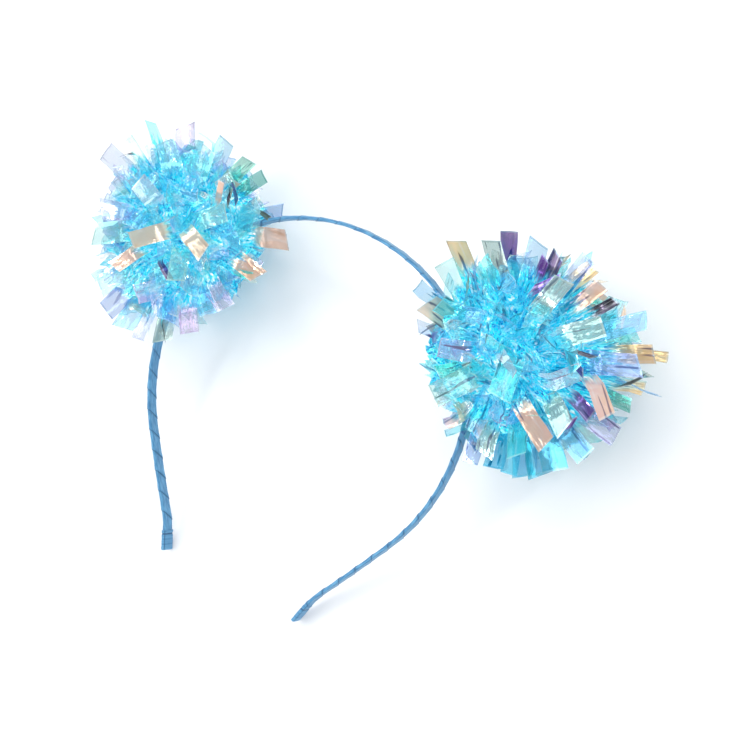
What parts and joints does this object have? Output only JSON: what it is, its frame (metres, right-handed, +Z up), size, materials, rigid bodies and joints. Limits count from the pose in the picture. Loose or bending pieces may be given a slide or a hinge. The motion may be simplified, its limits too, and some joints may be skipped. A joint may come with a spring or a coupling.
{
  "type": "party headband with film pompoms",
  "caption": "Narrow ribbon-wound headband bent to a horseshoe, with folded ribbon tips and a ball of crumpled film strips tied on at each side, lying on its side.",
  "frame": {"origin": "on the floor, under the middle of the whole object's box, as it lies on its side", "axes": "+X from the left pompom to the right one, +Y from the tips towards the crown, +Z up from the floor"},
  "size_m": [0.2216, 0.1546, 0.0684],
  "materials": {
    "ribbon": "mid-blue ribbed ribbon wound in overlapping turns, soft satin sheen",
    "ribbon_end": "the same mid-blue ribbon, folded lengthwise over the tip",
    "film": "thin glossy tinted film, bright blue at the heart and pale iridescent at the strips' ends"
  },
  "bodies": {
    "root": {"wrapped_band": "ribbon", "end_cap_left": "ribbon_end", "end_cap_right": "ribbon_end", "pompom_left": "film", "pompom_right": "film"}
  },
  "joints": []
}
